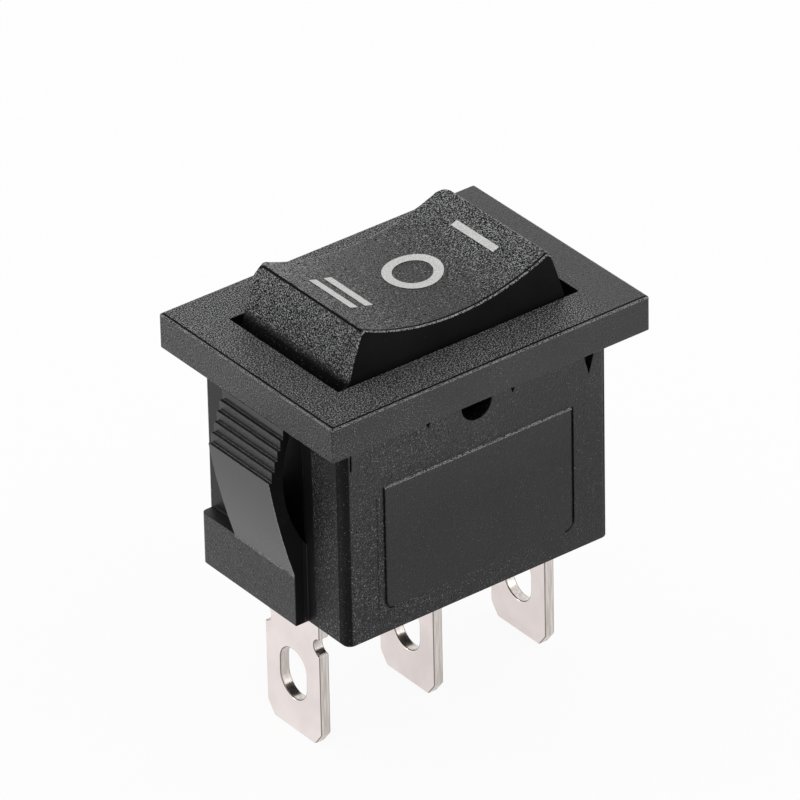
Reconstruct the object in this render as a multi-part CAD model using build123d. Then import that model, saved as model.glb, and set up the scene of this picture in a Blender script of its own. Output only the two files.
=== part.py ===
from build123d import *
import os
from math import cos, radians, sin, sqrt, tan

# Three-position (on-off-on) panel rocker switch with three solder / push-on tabs.
# Frame: the origin is the centre of the panel cut-out, on the panel's front face, where
# the bezel seats. +Z points out of the panel, +X runs along the rocker, and the tabs
# hang towards -Z. Millimetres and degrees throughout.

# ---- Housing: bezel and body, one moulding ----
bezel_length = 21.0
bezel_width = 15.0
bezel_thickness = 2.03
bezel_corner = 0.15
bezel_edge = 0.1
body_length = 17.5
body_width = 12.2
body_depth = 12.85
body_corner = 0.45
end_wall = 0.8
side_wall = 1.4
floor_thickness = 1.6

# ---- Housing: snap wings and the ledges that carry them ----
wing_width = 5.3
wing_top_drop = 0.5
wing_top_reach = 1.3
knee_drop = 3.4
knee_reach = 2.32
tooth_count = 5
wing_belly = 0.12
wing_thickness = 0.95
wing_neck = 0.6
relief_depth = 0.3
relief_inset = 0.2
relief_foot_height = 4.4
ledge_reach = 0.81
ledge_height = 3.15
ledge_far_margin = 0.5
ledge_corner = 0.3

# ---- Housing: marking field, wall slits and the boss under the common terminal ----
field_x = 0.07
field_length = 12.45
field_height = 7.5
field_drop = 3.87
field_rise = 0.06
field_corner = 0.5
field_groove = 0.12
slit_left_x = -3.2
slit_right_x = 2.4
slit_depth = 1.38
slit_half_angle = 24.0
key_x = 7.5
key_depth = 2.25
key_half_angle = 15.5
seam_x = -8.3
seam_depth = 2.05
seam_width = 0.1
seam_cut = 0.2
groove_cut = 0.5
boss_height = 0.9
boss_wall = 0.85

# ---- Pivot and rocker ----
pivot_drop = 1.1
hole_radius = 1.0
trunnion_clearance = 0.07
trunnion_recess = 0.7
trunnion_chamfer = 0.35
rocker_side_gap = 0.15
rocker_end_gap = 0.15
rocker_tilt = 12.0
dish_radius = 14.4
dish_height = 1.55
end_lean = 0.95
rocker_wall = 0.9
rocker_roof = 1.2
skirt_drop = 1.4
rocker_edge = 0.15
web_thickness = 0.8
web_depth = 4.0

# ---- Plunger and spring inside the rocker's post ----
post_radius = 2.0
post_drop = 4.5
plunger_radius = 1.2
plunger_clearance = 0.05
plunger_engagement = 2.2
nose_radius = 0.75
nose_taper = 0.9
nose_gap = 0.06
spigot_radius = 0.55
spigot_height = 0.9
spring_wire = 0.3
spring_radius = 0.85
spring_turns = 6

# ---- Terminals ----
strip = 0.65
terminal_clearance = 0.025
tab_width = 4.75
tab_length = 8.57
tab_tip_width = 3.63
tab_chamfer_height = 0.75
tab_hole_width = 2.3
tab_hole_height = 3.1
tab_hole_rise = 3.55
tab_notch_radius = 0.5
tab_notch_drop = 2.25
foot_width = 4.2
foot_margin = 0.4
bend_radius = 0.3
shoulder_width = 5.8
shoulder_height = 0.55
horn_width = 0.6
horn_rise = 0.45

# ---- Contacts and the rocking bridge ----
contact_reach = 5.2
fixed_radius = 1.5
fixed_head = 0.5
moving_radius = 1.3
moving_head = 0.45
shank_radius = 0.8
contact_edge = 0.12
closing_gap = 0.03
bridge_tilt = 10.0
bridge_thickness = 0.5
bridge_width = 4.2
bridge_bend = 1.0
bridge_overhang = 1.7
bridge_corner = 0.8
fulcrum_gap = 0.02
notch_half_length = 0.65
notch_side_gap = 0.1
dimple_radius = 1.2
dimple_depth = 0.15

# ---- Heights and half sizes that follow from the sizes above ----
cavity_x = body_length / 2 - end_wall
cavity_y = body_width / 2 - side_wall
floor_z = floor_thickness - body_depth
boss_z = floor_z + boss_height
pivot_z = -pivot_drop
wing_y = wing_width / 2
ledge_x = body_length / 2 + ledge_reach
ledge_z = ledge_height - body_depth
relief_x = body_length / 2 - relief_depth
relief_z = relief_foot_height - body_depth

rocker_y = cavity_y - rocker_side_gap
skirt_radius = cavity_x - rocker_end_gap
skirt_bottom_z = pivot_z - skirt_drop
skirt_top_x = sqrt(skirt_radius**2 - (bezel_thickness - pivot_z) ** 2)
skirt_bottom_x = sqrt(skirt_radius**2 - skirt_drop**2)
dish_z = bezel_thickness + dish_height
dish_centre_z = dish_z + dish_radius
ridge_x = skirt_top_x - end_lean
ridge_z = dish_centre_z - sqrt(dish_radius**2 - ridge_x**2)
roof_z = dish_z - rocker_roof
post_z = pivot_z - post_drop
bore_radius = plunger_radius + plunger_clearance

tip_z = -body_depth - tab_length
tab_x = cavity_x - terminal_clearance - strip / 2
foot_z = floor_z + strip
fixed_face_z = foot_z + fixed_head

# The bridge rocks about the centre of the common terminal's rounded top edge. With one
# arm down, that arm is level and its contact meets the fixed one across closing_gap.
fulcrum_radius = strip / 2
tilt = radians(bridge_tilt)
arm_rise = (fulcrum_radius + fulcrum_gap) * cos(tilt) - bridge_bend * sin(tilt)
contact_rise = arm_rise - moving_head
fulcrum_z = fixed_face_z + closing_gap - contact_rise
bridge_z = fulcrum_z + fulcrum_radius + fulcrum_gap
bridge_top_z = bridge_z + bridge_thickness
horn_z = bridge_top_z + horn_rise
nose_z = bridge_top_z - dimple_depth + nose_gap
plunger_top_z = post_z + plunger_engagement


def block(x, y, z):
    """A box from the low and high bound of each axis."""
    size = (x[1] - x[0], y[1] - y[0], z[1] - z[0])
    middle = (sum(x) / 2, sum(y) / 2, sum(z) / 2)
    return Pos(*middle) * Box(*size)


def rod(radius, start, end):
    """A cylinder between two points."""
    axis = Vector(*end) - Vector(*start)
    return extrude(Plane(origin=start, z_dir=axis) * Circle(radius), axis.length)


def slab(outline, half_width):
    """Closed XZ outline, thickened both ways along Y."""
    return extrude(Plane.XZ * make_face(outline), half_width, both=True)


def both_ends(shape):
    """A shape together with its mirror image at the -X end."""
    return shape + mirror(shape, Plane.YZ)


# ---------------------------------------------------------------- housing
def shell():
    """Bezel and body with the cavity cut down to the floor."""
    bezel = block(
        (-bezel_length / 2, bezel_length / 2), (-bezel_width / 2, bezel_width / 2), (0, bezel_thickness)
    )
    bezel = fillet(bezel.edges().filter_by(Axis.Z), bezel_corner)
    bezel = fillet(bezel.faces().sort_by(Axis.Z)[-1].edges(), bezel_edge)
    body = block(
        (-body_length / 2, body_length / 2), (-body_width / 2, body_width / 2), (-body_depth, 0)
    )
    body = fillet(body.edges().filter_by(Axis.Z), body_corner)
    cavity = block((-cavity_x, cavity_x), (-cavity_y, cavity_y), (floor_z, bezel_thickness))
    boss_x = strip / 2 + boss_wall
    boss = block((-boss_x, boss_x), (-cavity_y, cavity_y), (floor_z, boss_z))
    return bezel + body - cavity + boss


def wing_outline():
    """Snap wing in section: stepped ramp, knee, bowed face and the inner face behind it."""
    top_x = body_length / 2 + wing_top_reach
    knee_x = body_length / 2 + knee_reach
    pitch = (knee_drop - wing_top_drop) / tooth_count
    points = [(top_x - wing_neck, -wing_top_drop)]
    for tooth in range(tooth_count):
        crest_x = top_x + (knee_x - top_x) * tooth / tooth_count
        crest_z = -wing_top_drop - pitch * tooth
        points += [(crest_x, crest_z), (crest_x, crest_z - pitch)]
    knee = (knee_x, -knee_drop)
    heel = (ledge_x, ledge_z)
    middle = ((knee[0] + heel[0]) / 2 + wing_belly, (knee[1] + heel[1]) / 2)
    root = (relief_x, relief_z)
    hollow = (knee_x - wing_thickness, -knee_drop - 0.8)
    ramp = Polyline(*points, knee)
    face = ThreePointArc(knee, middle, heel)
    back = Polyline(heel, (relief_x, ledge_z), root)
    inner = Spline(root, hollow, points[0])
    return ramp + face + back + inner


def wings():
    """Relief, ledge and wing at the +X end, to be mirrored to the other end."""
    relief_y = wing_y - relief_inset
    relief = block((relief_x, body_length / 2), (-relief_y, relief_y), (relief_z, 0))
    ledge = block((relief_x, ledge_x), (-wing_y, body_width / 2 - ledge_far_margin), (-body_depth, ledge_z))
    outer_corners = ledge.edges().filter_by(Axis.Z).group_by(Axis.X)[-1]
    ledge = fillet(outer_corners.sort_by(Axis.Y)[-1], ledge_corner)
    wing = slab(wing_outline(), wing_y)
    return relief, ledge + wing


def v_groove(x, depth, half_angle):
    """V-shaped cut under the bezel, apex down, in the -Y wall's outer face."""
    half = depth * tan(radians(half_angle))
    outline = Polyline((x - half, 0), (x, -depth), (x + half, 0), close=True)
    wall_y = -body_width / 2
    return extrude(Plane.XZ.offset(-wall_y) * make_face(outline), -groove_cut)


def field_outline(grow):
    """Marking field on the -Y face, square above and rounded below, wider by grow all round but above."""
    height = field_height + grow
    plane = Plane.XZ.offset(body_width / 2)
    sketch = plane * Pos(field_x, -field_drop - height / 2) * Rectangle(field_length + 2 * grow, height)
    return fillet(sketch.vertices().sort_by(Axis.Z)[:2], field_corner + grow)


def marking_field():
    """Barely raised field for the ratings, and the fine groove down each of its sides."""
    raised = extrude(field_outline(0), field_rise)
    groove = extrude(field_outline(field_groove), -field_groove) - extrude(field_outline(0), -field_groove)
    half = field_length / 2 - field_corner
    middle = (field_x - half, field_x + half)
    groove -= block(middle, (-body_width / 2, body_width / 2), (-body_depth, 0))
    return raised, groove


def terminal_slots():
    """Slots through the floor for the three tabs."""
    half_x = strip / 2 + terminal_clearance
    half_y = tab_width / 2 + terminal_clearance
    middle = block((-half_x, half_x), (-half_y, half_y), (-body_depth, boss_z))
    return middle + Pos(tab_x, 0, 0) * middle + Pos(-tab_x, 0, 0) * middle


def housing():
    relief, wing = wings()
    part = shell() - both_ends(relief) + both_ends(wing)
    part -= rod(hole_radius, (0, -body_width / 2, pivot_z), (0, body_width / 2, pivot_z))
    part -= terminal_slots()
    raised, groove = marking_field()
    part = part + raised - groove
    for x in (slit_left_x, slit_right_x):
        part -= v_groove(x, slit_depth, slit_half_angle)
    part -= v_groove(key_x, key_depth, key_half_angle)
    seam = (seam_x - seam_width / 2, seam_x + seam_width / 2)
    return part - block(seam, (-body_width / 2, seam_cut - body_width / 2), (-seam_depth, 0))


# ---------------------------------------------------------------- rocker
def rocker_outline(inset, roof, bottom_z):
    """Rocker in section: dished top, leaning ends, skirts round the pivot."""
    radius = skirt_radius - inset
    top_x = sqrt(radius**2 - (bezel_thickness - pivot_z) ** 2)
    low_x = sqrt(radius**2 - (pivot_z - bottom_z) ** 2)
    corner_x = top_x - end_lean
    corner_z = dish_centre_z - sqrt((dish_radius + roof) ** 2 - corner_x**2)
    side_x = sqrt(radius**2 - ((bezel_thickness - pivot_z) / 2) ** 2)
    side_z = (bezel_thickness + pivot_z) / 2
    dish = ThreePointArc((-corner_x, corner_z), (0, dish_z - roof), (corner_x, corner_z))
    lines = dish + Line((corner_x, corner_z), (top_x, bezel_thickness))
    lines += ThreePointArc((top_x, bezel_thickness), (side_x, side_z), (low_x, bottom_z))
    lines += Line((low_x, bottom_z), (-low_x, bottom_z))
    lines += ThreePointArc((-low_x, bottom_z), (-side_x, side_z), (-top_x, bezel_thickness))
    return lines + Line((-top_x, bezel_thickness), (-corner_x, corner_z))


def rocker_shell():
    """Hollow shell, open below."""
    outer = slab(rocker_outline(0, 0, skirt_bottom_z), rocker_y)
    outer = fillet(outer.edges().filter_by(Axis.Y).sort_by(Axis.Z)[-2:], rocker_edge)
    inner = slab(rocker_outline(rocker_wall, rocker_roof, skirt_bottom_z), rocker_y - rocker_wall)
    return outer - inner


def webs():
    """Cross webs that tie the spring post to the walls."""
    half = web_thickness / 2
    low_z = roof_z - web_depth
    inner_x = skirt_top_x - rocker_wall / 2
    along = block((-inner_x, inner_x), (-half, half), (low_z, dish_z))
    across = block((-half, half), (-rocker_y + rocker_wall / 2, rocker_y - rocker_wall / 2), (low_z, dish_z))
    return (along + across) & slab(rocker_outline(rocker_wall / 2, rocker_roof / 2, skirt_bottom_z), rocker_y)


def trunnion():
    """Pivot pin on the +Y side, its end chamfered to spread the wall as it snaps in."""
    radius = hole_radius - trunnion_clearance
    root_y, end_y = rocker_y - rocker_wall / 2, body_width / 2 - trunnion_recess
    pin = rod(radius, (0, root_y, pivot_z), (0, end_y, pivot_z))
    return chamfer(pin.faces().sort_by(Axis.Y)[-1].edges(), trunnion_chamfer)


def rocker():
    pin = trunnion()
    post = rod(post_radius, (0, 0, post_z), (0, 0, roof_z + rocker_roof / 2))
    part = rocker_shell() + webs() + post + pin + mirror(pin, Plane.XZ)
    return part - rod(bore_radius, (0, 0, post_z), (0, 0, roof_z))


# ---------------------------------------------------------------- plunger and spring
def plunger():
    """Turned profile: spigot for the spring, sliding barrel, taper and round nose."""
    nose_top_z = nose_z + nose_radius
    taper_z = nose_top_z + nose_taper
    profile = Polyline(
        (0, plunger_top_z + spigot_height),
        (spigot_radius, plunger_top_z + spigot_height),
        (spigot_radius, plunger_top_z),
        (plunger_radius, plunger_top_z),
        (plunger_radius, taper_z),
        (nose_radius, nose_top_z),
    )
    profile += RadiusArc((nose_radius, nose_top_z), (0, nose_z), nose_radius)
    profile += Line((0, nose_z), (0, plunger_top_z + spigot_height))
    return revolve(Plane.XZ * make_face(profile), Axis.Z)


def spring():
    """Coil spring of six-sided wire, compressed between the bore's end and the plunger."""
    length = roof_z - plunger_top_z - spring_wire
    coil = Helix(pitch=length / spring_turns, height=length, radius=spring_radius)
    section = Plane(origin=coil @ 0, z_dir=coil % 0) * RegularPolygon(spring_wire / 2, 6)
    wire = sweep(section, path=coil, is_frenet=True)
    return Pos(0, 0, plunger_top_z + spring_wire / 2) * wire


# ---------------------------------------------------------------- terminals
def tab_sketch(top_z):
    """Blade seen along X: chamfered tip, side notches and the oblong wire hole."""
    half, tip = tab_width / 2, tab_tip_width / 2
    right = [(tip, tip_z), (half, tip_z + tab_chamfer_height), (half, top_z)]
    left = [(-y, z) for y, z in reversed(right)]
    blade = make_face(Polyline(*right, *left, close=True))
    notch_z = -body_depth - tab_notch_drop
    hole_z = tip_z + tab_hole_rise
    for side in (-half, half):
        blade -= Pos(side, notch_z) * Circle(tab_notch_radius)
    return blade - Pos(0, hole_z) * SlotOverall(tab_hole_height, tab_hole_width, rotation=90)


def strip_plate(sketch, x):
    """A flat stamping of the strip's thickness, standing across X."""
    return extrude(Plane.YZ.offset(x) * sketch, strip / 2, both=True)


def end_terminal():
    """Tab at the +X end, bent over at the floor into a foot with a hole for its contact."""
    foot_end_x = contact_reach - fixed_radius - foot_margin
    outer_x = tab_x + strip / 2
    outline = Polyline(
        (outer_x, tip_z), (outer_x, foot_z), (foot_end_x, foot_z), (foot_end_x, floor_z),
        (tab_x - strip / 2, floor_z), (tab_x - strip / 2, tip_z), close=True,
    )
    bar = slab(outline, tab_width / 2)
    bend = bar.edges().filter_by(Axis.Y).filter_by_position(Axis.Z, foot_z, foot_z).sort_by(Axis.X)[-1]
    bar = fillet(bend, bend_radius + strip)
    keep = strip_plate(tab_sketch(floor_z), tab_x)
    keep += block((foot_end_x, outer_x), (-foot_width / 2, foot_width / 2), (floor_z, foot_z))
    part = bar & keep
    return part - rod(shank_radius, (contact_reach, 0, floor_z), (contact_reach, 0, foot_z))


def common_terminal():
    """Flat stamping: tab, shoulders on the floor boss, rounded fulcrum between two horns."""
    neck = tab_width / 2
    shoulder = shoulder_width / 2
    top_z = fulcrum_z + fulcrum_radius
    sketch = tab_sketch(boss_z)
    sketch += Pos(0, boss_z + shoulder_height / 2) * Rectangle(2 * shoulder, shoulder_height)
    sketch += Pos(0, (boss_z + horn_z) / 2) * Rectangle(2 * neck, horn_z - boss_z)
    saddle = 2 * (neck - horn_width)
    sketch -= Pos(0, (top_z + horn_z) / 2) * Rectangle(saddle, horn_z - top_z)
    plate = strip_plate(sketch, 0)
    crown = block((-strip, strip), (-saddle / 2, saddle / 2), (fulcrum_z, top_z))
    return plate - crown + rod(fulcrum_radius, (0, -saddle / 2, fulcrum_z), (0, saddle / 2, fulcrum_z))


# ---------------------------------------------------------------- contacts and bridge
def rivet(radius, head, shank, face_z, up):
    """Contact rivet at the +X reach: head from its face, then the shank through the strip."""
    back_z = face_z + up * head
    button = rod(radius, (contact_reach, 0, face_z), (contact_reach, 0, back_z))
    face = button.faces().sort_by(Axis.Z)[0 if up > 0 else -1]
    button = chamfer(face.edges(), contact_edge)
    return button + rod(shank_radius, (contact_reach, 0, back_z), (contact_reach, 0, back_z + up * shank))


def fixed_contact():
    return rivet(fixed_radius, fixed_head, strip, fixed_face_z, -1)


def raise_arm(shape):
    """Turn a level +X arm up to its rest angle about the fulcrum."""
    return shape.rotate(Axis((0, 0, fulcrum_z), (0, 1, 0)), -bridge_tilt)


def moving_contact():
    face_z = fulcrum_z + contact_rise
    return raise_arm(rivet(moving_radius, moving_head, bridge_thickness, face_z, 1))


def bridge_outline():
    """Shallow V strip in section, flat over the fulcrum."""
    tip_x = contact_reach + bridge_overhang
    lift = bridge_thickness
    top_bend = bridge_bend - lift * tan(tilt / 2)
    low_tip = bridge_z + (tip_x - bridge_bend) * tan(tilt)
    high_x = tip_x - lift * sin(tilt)
    high_tip = low_tip + lift * cos(tilt)
    right = [(bridge_bend, bridge_z), (tip_x, low_tip), (high_x, high_tip), (top_bend, bridge_top_z)]
    left = [(-x, z) for x, z in reversed(right)]
    return Polyline(*right, *left, close=True)


def bridge():
    """Rocking contact strip with rounded ends, horn notches and a dimple for the nose."""
    part = slab(bridge_outline(), bridge_width / 2)
    reach = contact_reach + bridge_overhang
    plan = Plane.XY.offset(bridge_z) * RectangleRounded(2 * reach, bridge_width, bridge_corner)
    part &= extrude(plan, body_depth)
    notch_y = tab_width / 2 - horn_width - notch_side_gap
    for side in (-1, 1):
        ys = sorted((side * notch_y, side * bridge_width))
        part -= block((-notch_half_length, notch_half_length), ys, (bridge_z, bridge_top_z))
    level = rod(shank_radius, (contact_reach, 0, fulcrum_z), (contact_reach, 0, bridge_top_z))
    part -= both_ends(raise_arm(level))
    return part - Pos(0, 0, bridge_top_z + dimple_radius - dimple_depth) * Sphere(dimple_radius)


nodes = {
    "housing": housing(),
    "rocker": rocker(),
    "plunger": plunger(),
    "plunger_spring": spring(),
    "terminal_right": end_terminal(),
    "terminal_left": mirror(end_terminal(), Plane.YZ),
    "terminal_common": common_terminal(),
    "fixed_contact_right": fixed_contact(),
    "fixed_contact_left": mirror(fixed_contact(), Plane.YZ),
    "contact_bridge": bridge(),
    "moving_contact_right": moving_contact(),
    "moving_contact_left": mirror(moving_contact(), Plane.YZ),
}

os.makedirs("parts", exist_ok=True)
for name, shape in nodes.items():
    export_step(shape, f"parts/{name}.step")
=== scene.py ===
from math import cos, pi, radians, sin, sqrt

import bmesh
import bpy
from mathutils import Matrix, Vector


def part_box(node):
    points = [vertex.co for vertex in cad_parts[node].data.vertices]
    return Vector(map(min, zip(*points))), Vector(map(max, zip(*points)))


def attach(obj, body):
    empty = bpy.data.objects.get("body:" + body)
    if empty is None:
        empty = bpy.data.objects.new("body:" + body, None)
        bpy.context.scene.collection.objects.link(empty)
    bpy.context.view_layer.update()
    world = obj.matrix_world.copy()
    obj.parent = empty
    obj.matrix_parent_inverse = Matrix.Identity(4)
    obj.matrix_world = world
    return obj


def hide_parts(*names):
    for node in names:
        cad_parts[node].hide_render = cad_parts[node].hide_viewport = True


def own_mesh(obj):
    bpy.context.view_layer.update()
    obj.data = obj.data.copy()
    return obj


MM = 0.001
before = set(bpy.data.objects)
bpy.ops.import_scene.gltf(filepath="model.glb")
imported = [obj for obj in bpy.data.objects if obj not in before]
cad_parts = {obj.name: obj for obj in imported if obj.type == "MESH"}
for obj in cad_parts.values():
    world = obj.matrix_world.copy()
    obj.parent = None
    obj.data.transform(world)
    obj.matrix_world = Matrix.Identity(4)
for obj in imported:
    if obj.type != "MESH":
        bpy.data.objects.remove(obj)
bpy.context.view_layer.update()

# ---------------------------------------------------------------- camera
# A long lens on the corner of the bezel and body, looking down on the rocker's dished
# top with one snap wing to the left. It aims at the middle of the bezel's face.
AZIMUTH = radians(-37.0286)
ELEVATION = radians(31.8516)
ROLL = radians(-1.211)
DISTANCE = 475.31 * MM
SLIDE_RIGHT = -0.2288 * MM
SLIDE_UP = -4.9918 * MM
SENSOR = 36
LENS = 11.3199 * SENSOR

bezel_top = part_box("housing")[1].z
back = Vector((sin(AZIMUTH) * cos(ELEVATION), -cos(AZIMUTH) * cos(ELEVATION), sin(ELEVATION)))
level = Vector((cos(AZIMUTH), sin(AZIMUTH), 0))
upright = back.cross(level)
right = cos(ROLL) * level + sin(ROLL) * upright
up = cos(ROLL) * upright - sin(ROLL) * level
place = Vector((0, 0, bezel_top)) + back * DISTANCE + right * SLIDE_RIGHT + up * SLIDE_UP

camera = bpy.data.objects.new("camera", bpy.data.cameras.new("camera"))
camera.data.sensor_width = SENSOR
camera.data.lens = LENS
camera.matrix_world = Matrix.Translation(place) @ Matrix((right, up, back)).transposed().to_4x4()
bpy.context.scene.collection.objects.link(camera)
bpy.context.scene.camera = camera

# ---------------------------------------------------------------- housing
# Bezel, body and snap wings are one injection moulding in black nylon 66. The mould is
# spark-eroded on its show faces, which come out finely grained, and polished on the rim,
# the wings and the marking field, which come out smooth with a soft gloss.
NYLON_IOR = 1.5
MOTTLE_WIDTH = 2.5
GRAIN_WIDTH = 0.075
GRAIN_HEIGHT = 0.12
PIT_SOFTNESS = 0.1
CREST_SOFTNESS = 0.12
PIT_ROUGHNESS = 0.9
SMOOTH_ROUGHNESS = 0.2
MERGE_DISTANCE = 0.0003
FLAT_ANGLE = radians(0.4)
SHARP_ANGLE = radians(35)
HOUSING_EDGE = 0.035


def linear(hex_colour):
    """sRGB hex colour as linear RGBA."""
    channels = [int(hex_colour[i:i + 2], 16) / 255 for i in (1, 3, 5)]
    return [c / 12.92 if c <= 0.04045 else ((c + 0.055) / 1.055) ** 2.4 for c in channels] + [1]


def new_material(name):
    """A material with nothing in it yet."""
    material = bpy.data.materials.new(name)
    material.use_nodes = True
    material.node_tree.nodes.clear()
    return material


def add_node(material, kind, inputs=None, **settings):
    """Adds a node with its settings. An input is a value, or a node or socket to link from."""
    tree = material.node_tree
    node = tree.nodes.new(kind)
    for name, value in settings.items():
        setattr(node, name, value)
    for name, value in (inputs or {}).items():
        if isinstance(value, bpy.types.Node):
            value = next(output for output in value.outputs if not output.is_unavailable)
        if isinstance(value, bpy.types.NodeSocket):
            tree.links.new(value, node.inputs[name])
        else:
            node.inputs[name].default_value = value
    return node


def in_millimetres(material):
    """Place on the piece in millimetres, for zones and for patterns of a real width."""
    place = add_node(material, "ShaderNodeTexCoord").outputs["Object"]
    return add_node(
        material, "ShaderNodeVectorMath", {0: place, "Scale": 1 / MM}, operation="SCALE"
    )


def both_ends(material, place):
    """The same place folded over the middle, for what is alike at the left and right end."""
    turned = add_node(
        material, "ShaderNodeVectorMath", {0: place, 1: (-1, 1, 1)}, operation="MULTIPLY"
    )
    return add_node(material, "ShaderNodeVectorMath", {0: place, 1: turned}, operation="MAXIMUM")


def zone(material, place, low, high, blur=0.03):
    """1 in the box between two corners in millimetres, and 0 outside it."""
    above = add_node(material, "ShaderNodeVectorMath", {0: place, 1: low}, operation="SUBTRACT")
    below = add_node(material, "ShaderNodeVectorMath", {0: high, 1: place}, operation="SUBTRACT")
    inside = add_node(material, "ShaderNodeVectorMath", {0: above, 1: below}, operation="MINIMUM")
    x, y, z = add_node(material, "ShaderNodeSeparateXYZ", {0: inside}).outputs
    depth = add_node(material, "ShaderNodeMath", {0: x, 1: y}, operation="MINIMUM")
    depth = add_node(material, "ShaderNodeMath", {0: depth, 1: z}, operation="MINIMUM")
    return add_node(material, "ShaderNodeMapRange", {"Value": depth, "From Max": blur})


def laid_over(material, amount, *layers):
    """An amount for the whole surface, with zones laid over it in turn, each with its own."""
    for area, amount_there in layers:
        amount = add_node(
            material, "ShaderNodeMix", {"Factor": area, "A": amount, "B": amount_there}
        )
    return amount


def finish_nylon(material, smoothness, grained, painted_shade, painted_highlight):
    """Nylon of a given roughness, 0 to 1 spark-eroded, with painted shade and painted highlight."""
    millimetres = in_millimetres(material)
    # Pigment leaves the black slightly uneven over a few millimetres.
    mottle = add_node(
        material, "ShaderNodeTexNoise",
        {"Vector": millimetres, "Scale": 1 / MOTTLE_WIDTH, "Detail": 3.0},
    )
    mottle = add_node(
        material, "ShaderNodeMapRange", {"Value": mottle, "From Min": 0.3, "From Max": 0.7}
    )
    colour = add_node(
        material, "ShaderNodeMix",
        {"Factor": mottle, "A": linear("#0C0C0D"), "B": linear("#131314")},
        data_type="RGBA",
    )
    # The eroded surface is pitted. Its pits carry painted shade, and its crests a pale painted
    # highlight, which spreads over more of the grain where a painted highlight is laid.
    grain = add_node(
        material, "ShaderNodeTexNoise",
        {"Vector": millimetres, "Scale": 1 / GRAIN_WIDTH, "Detail": 1.0, "Roughness": 0.5},
    )
    pit_start = add_node(
        material, "ShaderNodeMapRange", {"Value": grained, "To Min": 0.25, "To Max": 0.49}
    )
    pit_floor = add_node(
        material, "ShaderNodeMath", {0: pit_start, 1: PIT_SOFTNESS}, operation="SUBTRACT"
    )
    pits = add_node(
        material, "ShaderNodeMapRange",
        {"Value": grain, "From Min": pit_start, "From Max": pit_floor},
    )
    crest_start = add_node(
        material, "ShaderNodeMapRange", {"Value": grained, "To Min": 0.75, "To Max": 0.51}
    )
    crest_top = add_node(
        material, "ShaderNodeMath", {0: crest_start, 1: CREST_SOFTNESS}, operation="ADD"
    )
    crest_height = add_node(
        material, "ShaderNodeMapRange", {"Value": grained, "To Min": 0.25, "To Max": 1.0}
    )
    crests = add_node(
        material, "ShaderNodeMapRange",
        {"Value": grain, "From Min": crest_start, "From Max": crest_top, "To Max": crest_height},
    )
    painted_glints = add_node(
        material, "ShaderNodeMapRange",
        {"Value": grain, "From Min": 0.4, "From Max": 0.6, "To Max": painted_highlight},
    )
    pale = add_node(material, "ShaderNodeMath", {0: crests, 1: painted_glints}, operation="MAXIMUM")
    colour = add_node(
        material, "ShaderNodeMix", {"Factor": pale, "A": colour, "B": linear("#999A9A")},
        data_type="RGBA",
    )
    # Painted shade, in the pits and in the zones given, darkens and roughens the reflection.
    dark = add_node(material, "ShaderNodeMath", {0: pits, 1: painted_shade}, operation="MAXIMUM")
    gloss = add_node(
        material, "ShaderNodeMix",
        {"Factor": dark, "A": linear("#FFFFFF"), "B": linear("#101010")},
        data_type="RGBA",
    )
    roughness = add_node(
        material, "ShaderNodeMapRange",
        {"Value": dark, "To Min": smoothness, "To Max": PIT_ROUGHNESS},
    )
    relief = add_node(material, "ShaderNodeMath", {0: grain, 1: grained}, operation="MULTIPLY")
    bump = add_node(
        material, "ShaderNodeBump", {"Height": relief, "Distance": GRAIN_HEIGHT * MM}
    )
    shader = add_node(
        material, "ShaderNodeBsdfPrincipled",
        {
            "Base Color": colour, "Specular Tint": gloss, "Roughness": roughness,
            "Normal": bump, "IOR": NYLON_IOR,
        },
    )
    add_node(material, "ShaderNodeOutputMaterial", {"Surface": shader})


def merged_copy(node):
    """A CAD solid's mesh with its doubled points and flat triangles merged."""
    bm = bmesh.new()
    bm.from_mesh(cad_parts[node].data)
    bmesh.ops.remove_doubles(bm, verts=bm.verts, dist=MERGE_DISTANCE * MM)
    bmesh.ops.dissolve_limit(bm, angle_limit=FLAT_ANGLE, verts=bm.verts, edges=bm.edges)
    bmesh.ops.recalc_face_normals(bm, faces=bm.faces)
    return bm


def finished_piece(bm, name, edge, material, node):
    """Breaks the sharp edges, as a mould or a die does, and puts the piece in its solid's place."""
    mesh = bpy.data.meshes.new(name)
    bm.to_mesh(mesh)
    bm.free()
    if "custom_normal" in mesh.attributes:
        mesh.attributes.remove(mesh.attributes["custom_normal"])
    mesh.materials.append(material)
    mesh.shade_smooth()
    mesh.set_sharp_from_angle(angle=SHARP_ANGLE)
    piece = bpy.data.objects.new(name, mesh)
    bpy.context.scene.collection.objects.link(piece)
    bevel = piece.modifiers.new("broken_edges", "BEVEL")
    bevel.width = edge * MM
    bevel.segments = 2
    bevel.limit_method = "ANGLE"
    bevel.angle_limit = SHARP_ANGLE
    bevel.use_clamp_overlap = False
    bevel.harden_normals = True
    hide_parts(node)
    return piece


nylon = new_material("black_nylon_grained_housing")
place = in_millimetres(nylon)
ends = both_ends(nylon, place)

# A zone reaches this far where nothing bounds it, and this deep behind a face it finishes.
FAR = 20
SKIN = 0.04

# The bezel's face is grained right to its edge, more lightly towards the right end, and its
# top edge carries a painted highlight. Just inside the left and the near edge runs a fine
# dark line of painted shade.
BEZEL_HALF_LENGTH = 10.5
BEZEL_HALF_WIDTH = 7.5
BEZEL_TOP = 2.03
HIGHLIGHT_BAND = 0.1
LINE_START = 0.1
LINE_END = 0.23
RIGHT_END = 6.5
OPENING_HALF_LENGTH = 8.0
OPENING_HALF_WIDTH = 4.75
OPENING_DEPTH = 0.03
OPENING_FLOOR = -11.85

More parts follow.
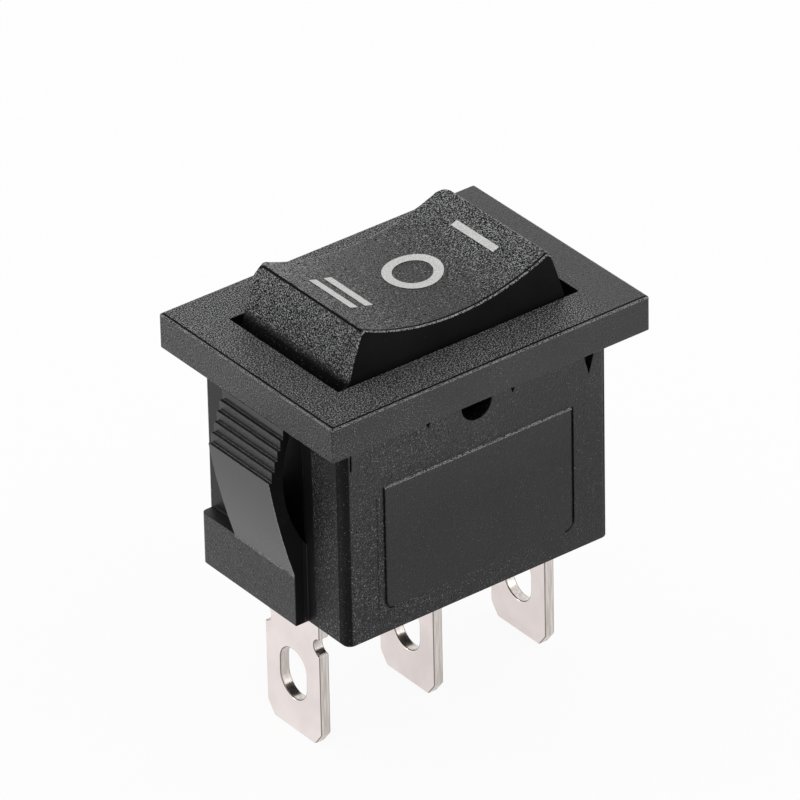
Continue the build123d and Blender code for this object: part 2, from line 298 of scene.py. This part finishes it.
face = zone(nylon, place, (-FAR, -FAR, BEZEL_TOP - SKIN), (FAR, FAR, FAR))
right_end = zone(nylon, place, (RIGHT_END, -FAR, -FAR), (FAR, FAR, FAR), blur=2.5)
line_outer = zone(
    nylon, place,
    (LINE_START - BEZEL_HALF_LENGTH, LINE_START - BEZEL_HALF_WIDTH, BEZEL_TOP - SKIN),
    (FAR, FAR, FAR),
)
line_inner = zone(
    nylon, place,
    (LINE_END - BEZEL_HALF_LENGTH, LINE_END - BEZEL_HALF_WIDTH, BEZEL_TOP - SKIN),
    (FAR, FAR, FAR),
)
top_edge = zone(nylon, place, (-FAR, -FAR, BEZEL_TOP - HIGHLIGHT_BAND), (FAR, FAR, FAR))
within_edge = zone(
    nylon, place, (HIGHLIGHT_BAND - BEZEL_HALF_LENGTH, HIGHLIGHT_BAND - BEZEL_HALF_WIDTH, -FAR),
    (BEZEL_HALF_LENGTH - HIGHLIGHT_BAND, BEZEL_HALF_WIDTH - HIGHLIGHT_BAND, FAR),
)
# Inside the opening the walls carry painted shade and no grain.
opening = zone(
    nylon, place, (-OPENING_HALF_LENGTH, -OPENING_HALF_WIDTH, OPENING_FLOOR),
    (OPENING_HALF_LENGTH, OPENING_HALF_WIDTH, BEZEL_TOP - OPENING_DEPTH),
)

# The walls below it are lightly grained, and worn smoother in patches and towards the right
# end. They carry painted shade, heavier towards the bottom, on the end walls, the corners,
# the ledges and the wings' near sides; the dark band at the corners is a painted reflection.
# The slides that form the wings leave a smooth footprint on the end walls, and the ledge is
# grained like the walls, with a painted highlight along its top edge where the wing meets it,
# and along the wings' near edges.
PATCH_WIDTH = 5.0
WORN_OVER = 40.0
BODY_TOP = -0.05
UPPER_WALLS = -7.0
END_WALL = 8.75
CORNER = -5.37
FOOTPRINT_NEAR_SIDE = -3.3
FOOTPRINT_FAR_SIDE = 5.7
WING_START = 9.0
WING_HALF_WIDTH = 2.65
WING_HEEL = -9.7
WING_KNEE = -3.4
STEPS_TOP = -0.8
WING_EDGE = 0.09
LEDGE_FAR_SIDE = 5.58
LEDGE_EDGE = 0.15

patches = add_node(
    nylon, "ShaderNodeTexNoise", {"Vector": place, "Scale": 1 / PATCH_WIDTH, "Detail": 2.0}
)
from_left = add_node(nylon, "ShaderNodeSeparateXYZ", {0: place})
wear = add_node(
    nylon, "ShaderNodeMath", {0: from_left, 1: -1 / WORN_OVER, 2: patches},
    operation="MULTIPLY_ADD",
)
light_grain = add_node(
    nylon, "ShaderNodeMapRange",
    {"Value": wear, "From Min": 0.3, "From Max": 0.75, "To Min": 0.3, "To Max": 0.65},
)
walls = zone(nylon, place, (-FAR, -FAR, -FAR), (FAR, FAR, BODY_TOP))
upper_walls = zone(nylon, place, (-FAR, -FAR, UPPER_WALLS), (FAR, FAR, FAR), blur=5.0)
end_walls = zone(nylon, ends, (END_WALL - 0.15, -FAR, -FAR), (END_WALL + 0.25, FAR, BODY_TOP))
footprint = zone(
    nylon, ends, (END_WALL - 0.75, FOOTPRINT_NEAR_SIDE, -FAR), (FAR, FOOTPRINT_FAR_SIDE, BODY_TOP)
)
corners = zone(nylon, ends, (END_WALL - 0.33, -FAR, -FAR), (END_WALL + 0.25, CORNER, BODY_TOP))
ledges = zone(
    nylon, ends, (WING_START, 0.05 - WING_HALF_WIDTH, -FAR), (FAR, LEDGE_FAR_SIDE, WING_HEEL)
)
ledge_top = zone(
    nylon, ends, (WING_START, 0.05 - WING_HALF_WIDTH, WING_HEEL - LEDGE_EDGE),
    (FAR, WING_HALF_WIDTH, WING_HEEL + 0.02),
)
wing_sides = zone(
    nylon, ends, (WING_START, -FAR, -FAR), (FAR, 0.03 - WING_HALF_WIDTH, BODY_TOP), blur=0.01
)
wing_edges = zone(
    nylon, ends, (WING_START + 0.3, 0.02 - WING_HALF_WIDTH, WING_HEEL),
    (FAR, WING_EDGE - WING_HALF_WIDTH, WING_KNEE), blur=0.01,
)
wings = zone(
    nylon, ends, (WING_START, -WING_HALF_WIDTH, WING_HEEL),
    (FAR, WING_HALF_WIDTH, BODY_TOP), blur=0.01,
)
steps = zone(
    nylon, ends, (WING_START + 0.9, -WING_HALF_WIDTH, WING_KNEE),
    (FAR, WING_HALF_WIDTH, STEPS_TOP), blur=0.01,
)

# The marking field is a polished insert. Its top edge carries a painted highlight, and
# upright lines of painted shade run beside its ends, the widest at its right end.
NEAR_WALL = -6.1
FIELD_LEFT = -6.155
FIELD_RIGHT = 6.295
FIELD_TOP = -3.87
FIELD_BOTTOM = -11.37

field = zone(
    nylon, place, (FIELD_LEFT, -FAR, FIELD_BOTTOM), (FIELD_RIGHT, NEAR_WALL + SKIN, FIELD_TOP)
)
field_top = zone(
    nylon, place, (FIELD_LEFT, -FAR, FIELD_TOP - 0.08),
    (FIELD_RIGHT, NEAR_WALL + SKIN, FIELD_TOP + 0.06),
)
right_shade_line = zone(
    nylon, place, (FIELD_RIGHT - 0.1, -FAR, FIELD_BOTTOM + 0.3),
    (FIELD_RIGHT + 0.1, NEAR_WALL + SKIN, FIELD_TOP),
)
left_shade_line = zone(
    nylon, place, (FIELD_LEFT - 0.58, -FAR, FIELD_BOTTOM - 0.6),
    (FIELD_LEFT - 0.46, NEAR_WALL + SKIN, FIELD_TOP - 0.5),
)

# Painted shade on the walls, heavier towards the bottom.
wall_shade = laid_over(nylon, 0.3, (upper_walls, 0.12))
face_grain = laid_over(nylon, 1.0, (right_end, 0.4))
finish_nylon(
    nylon, SMOOTH_ROUGHNESS,
    grained=laid_over(
        nylon, light_grain, (footprint, 0.04), (ledges, 0.4), (corners, 0.3), (steps, 0.2),
        (field, 0.3), (face, face_grain), (line_outer, 0.0), (line_inner, face_grain),
        (opening, 0.0),
    ),
    # Painted shade on the walls, the end walls, the ledges, the wings' near sides, the dark lines
    # and the opening; at the corners it is a painted dark reflection.
    painted_shade=laid_over(
        nylon, 0.0, (walls, wall_shade), (end_walls, 0.38), (corners, 0.8), (ledges, 0.15),
        (wings, 0.0), (wing_sides, 0.9), (line_outer, 1.0), (line_inner, 0.0),
        (right_shade_line, 1.0), (left_shade_line, 0.6), (opening, 1.0),
    ),
    # Painted highlights along the bezel's top edge, the field's top edge, the ledges and the wings'
    # edges.
    painted_highlight=laid_over(
        nylon, 0.0, (top_edge, 0.7), (within_edge, 0.0), (field_top, 1.0), (ledge_top, 0.6),
        (wing_edges, 0.6),
    ),
)

housing = finished_piece(merged_copy("housing"), "housing_moulding", HOUSING_EDGE, nylon, "housing")
# The wing's face meets its ledge at a crisp line, though the angle between them is small.
HEEL_TOLERANCE = 0.02
vertices = housing.data.vertices
for edge in housing.data.edges:
    heights = [vertices[index].co.z / MM for index in edge.vertices]
    if all(abs(height - WING_HEEL) < HEEL_TOLERANCE for height in heights):
        edge.use_edge_sharp = True
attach(housing, "housing")

# ---------------------------------------------------------------- rocker
# The rocker is its own moulding in the same black nylon, snapped in by two pins. Its dished
# top and its two ends are grained for the finger, and its long sides are polished.
POLISHED_ROUGHNESS = 0.17
RUBBED_WIDTH = 4.0
RUBBED_SPREAD = 4.0
ROCKER_EDGE = 0.03
ROCKER_HALF_WIDTH = 4.55
RIM_RADIUS = 0.09
RIM_SKIN = 0.005
RIDGE_REACH = 6.19
RIDGE_FOOT = 4.7
DISH_FOOT = 3.3
GRAIN_FOOT = 0.6

nylon = new_material("black_nylon_grained_rocker")
place = in_millimetres(nylon)
ends = both_ends(nylon, place)

# The finger wears the grain down in the middle of the dish. Down by the bezel the rocker
# carries painted shade, and its grain is finer.
patches = add_node(
    nylon, "ShaderNodeTexNoise", {"Vector": place, "Scale": 1 / RUBBED_WIDTH, "Detail": 2.0}
)
reach = add_node(nylon, "ShaderNodeSeparateXYZ", {0: ends})
reach = add_node(
    nylon, "ShaderNodeMath", {0: patches, 1: RUBBED_SPREAD, 2: reach}, operation="MULTIPLY_ADD"
)
kept = add_node(
    nylon, "ShaderNodeMapRange",
    {"Value": reach, "From Min": 3.0, "From Max": 6.5, "To Min": 0.65, "To Max": 1.0},
)
eroded = zone(
    nylon, place, (-FAR, RIM_SKIN - ROCKER_HALF_WIDTH, GRAIN_FOOT),
    (FAR, ROCKER_HALF_WIDTH - RIM_SKIN, FAR), blur=RIM_SKIN,
)
bezel_shade_zone = zone(nylon, place, (-FAR, -FAR, -FAR), (FAR, FAR, BEZEL_TOP + 0.4), blur=0.5)
kept_above = laid_over(nylon, kept, (bezel_shade_zone, 0.3))

# A fine dark line of painted shade runs inside the near rim and along the left ridge, and
# the rims and the right ridge carry a painted highlight.
line_outer = zone(
    nylon, place, (-RIDGE_REACH - 0.05, LINE_START - ROCKER_HALF_WIDTH, DISH_FOOT),
    (FAR, ROCKER_HALF_WIDTH - RIM_SKIN, FAR),
)
line_inner = zone(
    nylon, place, (-RIDGE_REACH + 0.06, LINE_END - ROCKER_HALF_WIDTH, DISH_FOOT),
    (FAR, ROCKER_HALF_WIDTH - RIM_SKIN, FAR),
)
dish = zone(
    nylon, place, (-RIDGE_REACH, RIM_SKIN - ROCKER_HALF_WIDTH, DISH_FOOT),
    (RIDGE_REACH, ROCKER_HALF_WIDTH - RIM_SKIN, FAR), blur=RIM_SKIN,
)
within_rims = zone(
    nylon, place, (-FAR, RIM_RADIUS - ROCKER_HALF_WIDTH, -FAR),
    (FAR, ROCKER_HALF_WIDTH - RIM_RADIUS, FAR),
)
right_ridge = zone(
    nylon, place, (RIDGE_REACH - 0.07, -ROCKER_HALF_WIDTH, RIDGE_FOOT),
    (RIDGE_REACH + 0.05, ROCKER_HALF_WIDTH, FAR),
)

finish_nylon(
    nylon, laid_over(nylon, POLISHED_ROUGHNESS, (eroded, SMOOTH_ROUGHNESS)),
    grained=laid_over(nylon, 0.0, (eroded, kept_above), (line_outer, 0.0), (line_inner, kept)),
    # Painted shade on the polished long sides, along the dark line and low down by the bezel.
    painted_shade=laid_over(
        nylon, 0.85, (eroded, 0.0), (line_outer, 1.0), (line_inner, 0.0), (bezel_shade_zone, 1.0)
    ),
    # Painted highlight on the rims and the right ridge.
    painted_highlight=laid_over(nylon, 0.0, (dish, 1.0), (within_rims, 0.0), (right_ridge, 1.0)),
)

# The rims of the dish and of the ends are rounded for the finger along both long sides.
RIM_FOOT = 2.1
RIM_TOLERANCE = 0.01
FLAT_SIDE = 0.99

bm = merged_copy("rocker")
rims = [
    edge for edge in bm.edges
    if len(edge.link_faces) == 2 and all(vertex.co.z > RIM_FOOT * MM for vertex in edge.verts)
    and sum(abs(face.normal.y) > FLAT_SIDE for face in edge.link_faces) == 1
    and all(
        abs(vertex.co.y) > (ROCKER_HALF_WIDTH - RIM_TOLERANCE) * MM for vertex in edge.verts
    )
]
bmesh.ops.bevel(
    bm, geom=rims, offset=RIM_RADIUS * MM, affect="EDGES", segments=3, profile=0.5,
    material=-1, clamp_overlap=False,
)
# The four tips, where a ridge meets a long side, are rounded off in three small flats each,
# and more so along the far side, at y 1, than along the near one, at y -1. A flat is given
# as the way it faces and its share of the tip's depth.
TIP_FLATS = [((0.5, 0.6, 0.62), 1.0), ((0.25, 0.85, 0.45), 0.35), ((0.75, 0.35, 0.55), 0.3)]
TIP_DEPTH = {-1: 0.06, 1: 0.24}
ON_PLANE = 1e-7

for x in (-1, 1):
    for y in (-1, 1):
        for direction, share in TIP_FLATS:
            outwards = Vector((x * direction[0], y * direction[1], direction[2])).normalized()
            reach = max(vertex.co.dot(outwards) for vertex in bm.verts)
            cut = bmesh.ops.bisect_plane(
                bm, geom=bm.verts[:] + bm.edges[:] + bm.faces[:], dist=ON_PLANE,
                plane_co=outwards * (reach - share * TIP_DEPTH[y] * MM), plane_no=outwards,
                clear_outer=True,
            )["geom_cut"]
            rim = [piece for piece in cut if isinstance(piece, bmesh.types.BMEdge)]
            bmesh.ops.holes_fill(bm, edges=rim)
bmesh.ops.recalc_face_normals(bm, faces=bm.faces)
rocker = finished_piece(bm, "rocker_moulding", ROCKER_EDGE, nylon, "rocker")
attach(rocker, "rocker")

# ---------------------------------------------------------------- position marks
# One bar, a ring and two bars are pad-printed across the dish in light grey ink, so
# that each position of the switch has its mark. The ink lies over the grain and dips with it.
INK_RISE = 0.02
DISH_RADIUS = 14.4
DISH_BOTTOM = 3.58
BARS = {"mark_one": [(4.78, 0.05)], "mark_two": [(-4.42, 0.27), (-3.41, 0.33)]}
BAR_WIDTH = {"mark_one": 0.42, "mark_two": 0.5}
BAR_LENGTH = 3.6
RING_CENTRE = (0.79, 0.27)
RING_OUTER = 1.65
RING_INNER = 1.1
RING_SEGMENTS = 72

ink = new_material("pad_printed_grey_ink")
grain = add_node(
    ink, "ShaderNodeTexNoise",
    {"Vector": in_millimetres(ink), "Scale": 1 / GRAIN_WIDTH, "Detail": 2.0},
)
cover = add_node(ink, "ShaderNodeMapRange", {"Value": grain, "From Min": 0.35, "From Max": 0.65})
colour = add_node(
    ink, "ShaderNodeMix", {"Factor": cover, "A": linear("#BCBCBB"), "B": linear("#E0E0DE")},
    data_type="RGBA",
)
bump = add_node(ink, "ShaderNodeBump", {"Height": grain, "Distance": 0.5 * GRAIN_HEIGHT * MM})
shader = add_node(
    ink, "ShaderNodeBsdfPrincipled", {"Base Color": colour, "Roughness": 0.5, "Normal": bump}
)
add_node(ink, "ShaderNodeOutputMaterial", {"Surface": shader})


def print_on_dish(name, bm):
    """Drops a flat shape onto the dish and rides it on the rocker."""
    centre = DISH_BOTTOM + DISH_RADIUS
    for vertex in bm.verts:
        x = vertex.co.x
        vertex.co.z = centre - sqrt((DISH_RADIUS - INK_RISE) ** 2 - x * x)
    bmesh.ops.scale(bm, vec=Vector((MM, MM, MM)), verts=bm.verts)
    mesh = bpy.data.meshes.new(name)
    bm.to_mesh(mesh)
    bm.free()
    mesh.materials.append(ink)
    mesh.shade_smooth()
    piece = bpy.data.objects.new(name, mesh)
    bpy.context.scene.collection.objects.link(piece)
    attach(piece, "rocker")


for name, bars in BARS.items():
    bm = bmesh.new()
    for x, y in bars:
        grid = bmesh.ops.create_grid(bm, x_segments=2, y_segments=2, size=0.5)["verts"]
        bmesh.ops.scale(bm, vec=Vector((BAR_WIDTH[name], BAR_LENGTH, 1)), verts=grid)
        bmesh.ops.translate(bm, vec=Vector((x, y, 0)), verts=grid)
    print_on_dish(name, bm)

bm = bmesh.new()
bmesh.ops.create_circle(bm, segments=RING_SEGMENTS, radius=RING_OUTER)
bmesh.ops.create_circle(bm, segments=RING_SEGMENTS, radius=RING_INNER)
bmesh.ops.bridge_loops(bm, edges=bm.edges)
bmesh.ops.translate(bm, vec=Vector((*RING_CENTRE, 0)), verts=bm.verts)
bmesh.ops.recalc_face_normals(bm, faces=bm.faces)
if sum(face.normal.z for face in bm.faces) < 0:
    bmesh.ops.reverse_faces(bm, faces=bm.faces)
print_on_dish("mark_off", bm)

# ---------------------------------------------------------------- terminals
# The three tabs are stamped from brass strip and bright tin plated. Their cut edges are
# duller than the rolled faces, and a fine dark band runs along the rounded edges between them.
TAB_EDGE = 0.09
ROLLING_WIDTH = 0.15
DRAWN_OUT = 0.08
CLOUD_WIDTH = 2.0

tin = new_material("bright_tin_plated_brass")
place = in_millimetres(tin)
drawn = add_node(tin, "ShaderNodeMapping", {"Vector": place, "Scale": (1.0, 1.0, DRAWN_OUT)})
rolling = add_node(
    tin, "ShaderNodeTexNoise", {"Vector": drawn, "Scale": 1 / ROLLING_WIDTH, "Detail": 2.0}
)
cloud = add_node(
    tin, "ShaderNodeTexNoise", {"Vector": place, "Scale": 1 / CLOUD_WIDTH, "Detail": 2.0}
)
cloud = add_node(tin, "ShaderNodeMapRange", {"Value": cloud, "From Min": 0.35, "From Max": 0.65})
colour = add_node(
    tin, "ShaderNodeMix", {"Factor": cloud, "A": linear("#F0E5E2"), "B": linear("#F8EEEB")},
    data_type="RGBA",
)
# The cut edges face along the tab's plane, and the dark band lies where the two meet.
facing = add_node(tin, "ShaderNodeTexCoord").outputs["Normal"]
facing = add_node(tin, "ShaderNodeSeparateXYZ", {0: facing})
flat = add_node(tin, "ShaderNodeMath", {0: facing.outputs["X"]}, operation="ABSOLUTE")
cut = add_node(tin, "ShaderNodeMapRange", {"Value": flat, "From Min": 0.5, "From Max": 0.1})
edge_band = add_node(tin, "ShaderNodeMath", {0: flat, 1: 0.55, 2: 0.3}, operation="COMPARE")
striped = add_node(
    tin, "ShaderNodeMapRange", {"Value": rolling, "From Min": 0.35, "From Max": 0.65}
)
cut_colour = add_node(
    tin, "ShaderNodeMix", {"Factor": striped, "A": linear("#C4BCB6"), "B": linear("#E2DAD5")},
    data_type="RGBA",
)
colour = add_node(
    tin, "ShaderNodeMix", {"Factor": cut, "A": colour, "B": cut_colour}, data_type="RGBA"
)
colour = add_node(
    tin, "ShaderNodeMix", {"Factor": edge_band, "A": colour, "B": linear("#8A827C")},
    data_type="RGBA",
)
roughness = add_node(
    tin, "ShaderNodeMapRange", {"Value": rolling, "To Min": 0.18, "To Max": 0.3}
)
bump = add_node(tin, "ShaderNodeBump", {"Height": rolling, "Distance": 0.002 * MM})
shader = add_node(
    tin, "ShaderNodeBsdfPrincipled",
    {"Base Color": colour, "Metallic": 1.0, "Roughness": roughness, "Normal": bump},
)
add_node(tin, "ShaderNodeOutputMaterial", {"Surface": shader})

for node in ("terminal_left", "terminal_common", "terminal_right"):
    tab = finished_piece(merged_copy(node), node + "_stamping", TAB_EDGE, tin, node)
    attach(tab, "housing")

# ---------------------------------------------------------------- plunger
# The plunger that the rocker presses on the bridge is turned from natural acetal, which is
# a milky white with a waxy gloss.
MILK_WIDTH = 1.5

acetal = new_material("natural_acetal_turned")
milk = add_node(
    acetal, "ShaderNodeTexNoise",
    {"Vector": in_millimetres(acetal), "Scale": 1 / MILK_WIDTH, "Detail": 2.0},
)
colour = add_node(
    acetal, "ShaderNodeMix", {"Factor": milk, "A": linear("#E4E1D6"), "B": linear("#F0EEE6")},
    data_type="RGBA",
)
shader = add_node(
    acetal, "ShaderNodeBsdfPrincipled", {"Base Color": colour, "Roughness": 0.35, "IOR": 1.48}
)
add_node(acetal, "ShaderNodeOutputMaterial", {"Surface": shader})
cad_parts["plunger"].material_slots[0].material = acetal

# ---------------------------------------------------------------- spring
# The coil spring above the plunger is hard-drawn music wire, bright with fine draw lines. Its
# upper end sits in the rocker's post, and it rides with the rocker at one length.
DRAW_LINE_WIDTH = 0.1
WIRE_EDGE = 0.01

wire = new_material("hard_drawn_music_wire")
draw_lines = add_node(
    wire, "ShaderNodeTexNoise",
    {"Vector": in_millimetres(wire), "Scale": 1 / DRAW_LINE_WIDTH, "Detail": 2.0},
)
colour = add_node(
    wire, "ShaderNodeMix",
    {"Factor": draw_lines, "A": linear("#8C8C8E"), "B": linear("#B4B4B6")},
    data_type="RGBA",
)
shader = add_node(
    wire, "ShaderNodeBsdfPrincipled", {"Base Color": colour, "Metallic": 1.0, "Roughness": 0.28}
)
add_node(wire, "ShaderNodeOutputMaterial", {"Surface": shader})

bm = merged_copy("plunger_spring")
coil = finished_piece(bm, "plunger_spring_coil", WIRE_EDGE, wire, "plunger_spring")
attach(coil, "rocker")
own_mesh(coil)

# ---------------------------------------------------------------- contact bridge
# The rocking bridge is pressed from phosphor bronze strip, reddish, with a rolled grain.
STRIP_GRAIN_WIDTH = 0.12
STRIP_DRAWN_OUT = 0.1

bronze = new_material("rolled_phosphor_bronze")
drawn = add_node(
    bronze, "ShaderNodeMapping",
    {"Vector": in_millimetres(bronze), "Scale": (STRIP_DRAWN_OUT, 1.0, 1.0)},
)
rolling = add_node(
    bronze, "ShaderNodeTexNoise",
    {"Vector": drawn, "Scale": 1 / STRIP_GRAIN_WIDTH, "Detail": 2.0},
)
colour = add_node(
    bronze, "ShaderNodeMix",
    {"Factor": rolling, "A": linear("#B87A4B"), "B": linear("#D69A68")},
    data_type="RGBA",
)
shader = add_node(
    bronze, "ShaderNodeBsdfPrincipled",
    {"Base Color": colour, "Metallic": 1.0, "Roughness": 0.3},
)
add_node(bronze, "ShaderNodeOutputMaterial", {"Surface": shader})
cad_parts["contact_bridge"].material_slots[0].material = bronze

# ---------------------------------------------------------------- contacts
# The four contact rivets are headed from silver-nickel wire, white and slightly matt.
RIVETS = [
    "fixed_contact_left", "fixed_contact_right", "moving_contact_left", "moving_contact_right",
]
MATT_WIDTH = 0.3

silver = new_material("silver_nickel_rivet")
matt = add_node(
    silver, "ShaderNodeTexNoise",
    {"Vector": in_millimetres(silver), "Scale": 1 / MATT_WIDTH, "Detail": 2.0},
)
colour = add_node(
    silver, "ShaderNodeMix", {"Factor": matt, "A": linear("#CDCBC6"), "B": linear("#E6E4DF")},
    data_type="RGBA",
)
roughness = add_node(
    silver, "ShaderNodeMapRange", {"Value": matt, "To Min": 0.3, "To Max": 0.45}
)
shader = add_node(
    silver, "ShaderNodeBsdfPrincipled",
    {"Base Color": colour, "Metallic": 1.0, "Roughness": roughness},
)
add_node(silver, "ShaderNodeOutputMaterial", {"Surface": shader})
for node in RIVETS:
    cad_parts[node].material_slots[0].material = silver

# ---------------------------------------------------------------- floor and light
# The loose switch stands on its three tab ends on white studio paper, in even light from
# all round, with three narrow softboxes that put a sparkle on the grain.
TABLE_HALF_SIZE = 2.0
PAPER_SEEN = 0.92
PAPER_MIRRORED = 0.68
WORLD_SEEN = 1.0
WORLD_LIGHT = 0.88

bm = bmesh.new()
bmesh.ops.create_grid(bm, x_segments=1, y_segments=1, size=TABLE_HALF_SIZE)
table_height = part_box("terminal_common")[0].z
bmesh.ops.translate(bm, vec=Vector((0, 0, table_height)), verts=bm.verts)
mesh = bpy.data.meshes.new("table")
bm.to_mesh(mesh)
bm.free()
table = bpy.data.objects.new("table", mesh)
bpy.context.scene.collection.objects.link(table)

# The paper glows where the camera sees it, and less so where a gloss mirrors it, and takes
# the switch's shadow with the rest of its strength.
paper = new_material("white_studio_paper")
shader = add_node(
    paper, "ShaderNodeBsdfPrincipled", {"Base Color": linear("#F2F2F2"), "Roughness": 0.9}
)
path = add_node(paper, "ShaderNodeLightPath").outputs
mirrored = add_node(
    paper, "ShaderNodeMath", {0: path["Is Glossy Ray"], 1: path["Is Transmission Ray"]},
    operation="MAXIMUM",
)
mirrored = add_node(paper, "ShaderNodeMath", {0: mirrored, 1: PAPER_MIRRORED}, operation="MULTIPLY")
seen = add_node(
    paper, "ShaderNodeMath", {0: path["Is Camera Ray"], 1: mirrored}, operation="MAXIMUM"
)
seen = add_node(paper, "ShaderNodeMath", {0: seen, 1: PAPER_SEEN}, operation="MULTIPLY")
glow = add_node(paper, "ShaderNodeEmission", {"Color": linear("#FFFFFF"), "Strength": 1.0})
surface = add_node(paper, "ShaderNodeMixShader", {0: seen, 1: shader, 2: glow})
add_node(paper, "ShaderNodeOutputMaterial", {"Surface": surface})
mesh.materials.append(paper)

world = bpy.data.worlds.new("studio")
world.use_nodes = True
world.node_tree.nodes.clear()
path = add_node(world, "ShaderNodeLightPath").outputs
mirrored = add_node(
    world, "ShaderNodeMath", {0: path["Is Glossy Ray"], 1: path["Is Transmission Ray"]},
    operation="MAXIMUM",
)
seen = add_node(
    world, "ShaderNodeMath", {0: path["Is Camera Ray"], 1: mirrored}, operation="MAXIMUM"
)
level = add_node(
    world, "ShaderNodeMapRange", {"Value": seen, "To Min": WORLD_LIGHT, "To Max": WORLD_SEEN}
)
sky = add_node(world, "ShaderNodeBackground", {"Color": linear("#FFFFFF"), "Strength": level})
add_node(world, "ShaderNodeOutputWorld", {"Surface": sky})
bpy.context.scene.world = world
bpy.context.scene.view_settings.view_transform = "Standard"

# Each softbox is given as its direction from the switch, its width, height and strength.
SOFTBOXES = {
    "softbox_back": ((-0.05, 0.7, 0.68), 0.5, 0.03, 2.0),
    "softbox_left": ((-0.72, 0.68, 0.2), 0.08, 0.3, 6.0),
    "softbox_right": ((0.6, -0.72, 0.4), 0.05, 0.4, 4.0),
}
SOFTBOX_DISTANCE = 0.6
for name, (direction, width, height, strength) in SOFTBOXES.items():
    lamp = bpy.data.lights.new(name, "AREA")
    lamp.shape = "RECTANGLE"
    lamp.size = width
    lamp.size_y = height
    lamp.energy = strength * pi * width * height
    softbox = bpy.data.objects.new(name, lamp)
    aim = Vector(direction).normalized() * SOFTBOX_DISTANCE
    turned = aim.to_track_quat("Z", "Y").to_matrix().to_4x4()
    softbox.matrix_world = Matrix.Translation(aim) @ turned
    bpy.context.scene.collection.objects.link(softbox)
